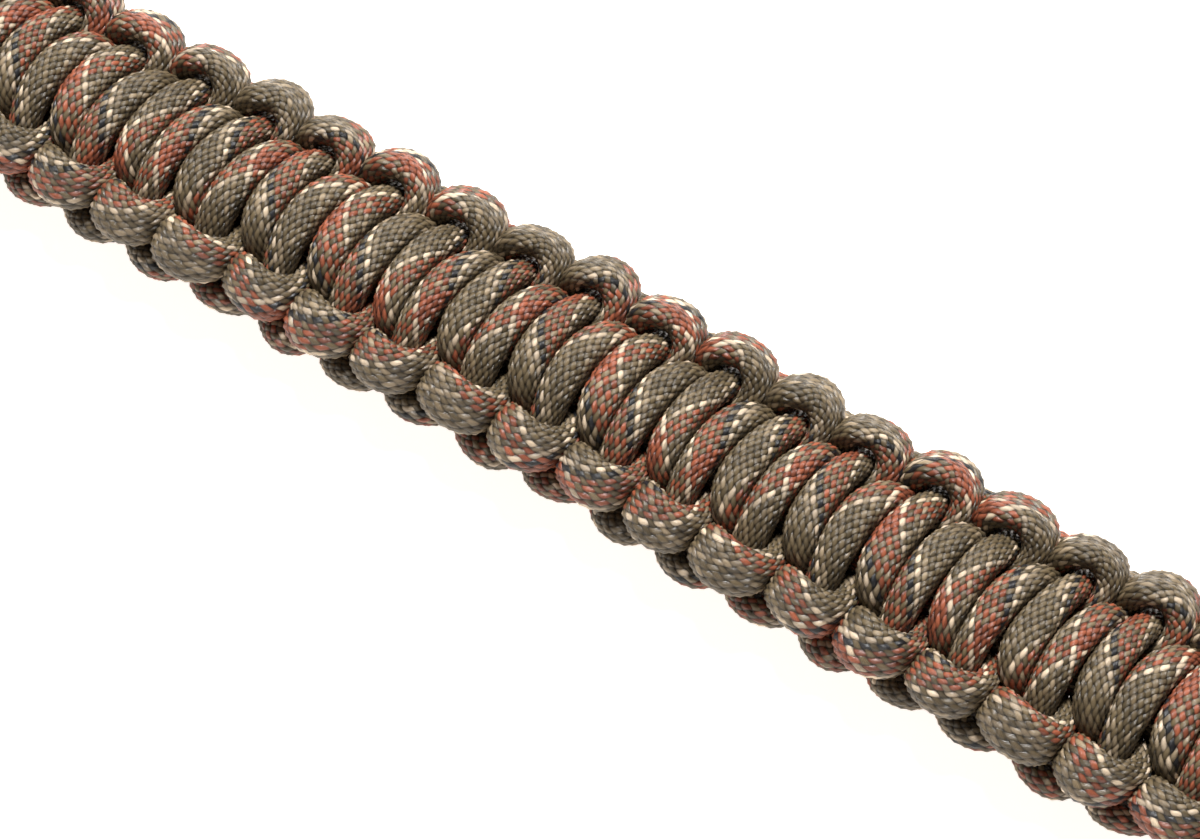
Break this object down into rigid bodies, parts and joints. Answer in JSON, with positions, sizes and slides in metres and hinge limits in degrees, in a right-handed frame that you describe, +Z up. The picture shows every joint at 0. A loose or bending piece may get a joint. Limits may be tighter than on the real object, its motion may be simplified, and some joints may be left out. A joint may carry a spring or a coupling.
{
  "type": "shackle bracelet",
  "caption": "Flat strap of cobra-woven braided cord, laid out straight, with a bow shackle at one end and a cord loop for its pin at the other.",
  "frame": {"origin": "on the surface that the bracelet lies on, under the middle of its bounding box", "axes": "+X along the strap towards the shackle, +Y across the strap, +Z up from the surface"},
  "size_m": [0.217, 0.0234, 0.0112],
  "materials": {
    "front_cord": "braided nylon, olive and taupe with rust red, cream and dark flecks",
    "back_cord": "braided nylon, olive and taupe with rust red, cream and dark flecks",
    "core_cord": "braided nylon, olive and taupe with rust red, cream and dark flecks",
    "shackle": "satin stainless steel"
  },
  "bodies": {
    "root": {"front_cord": "front_cord", "back_cord": "back_cord", "core_cord": "core_cord", "shackle": "shackle"}
  },
  "joints": []
}
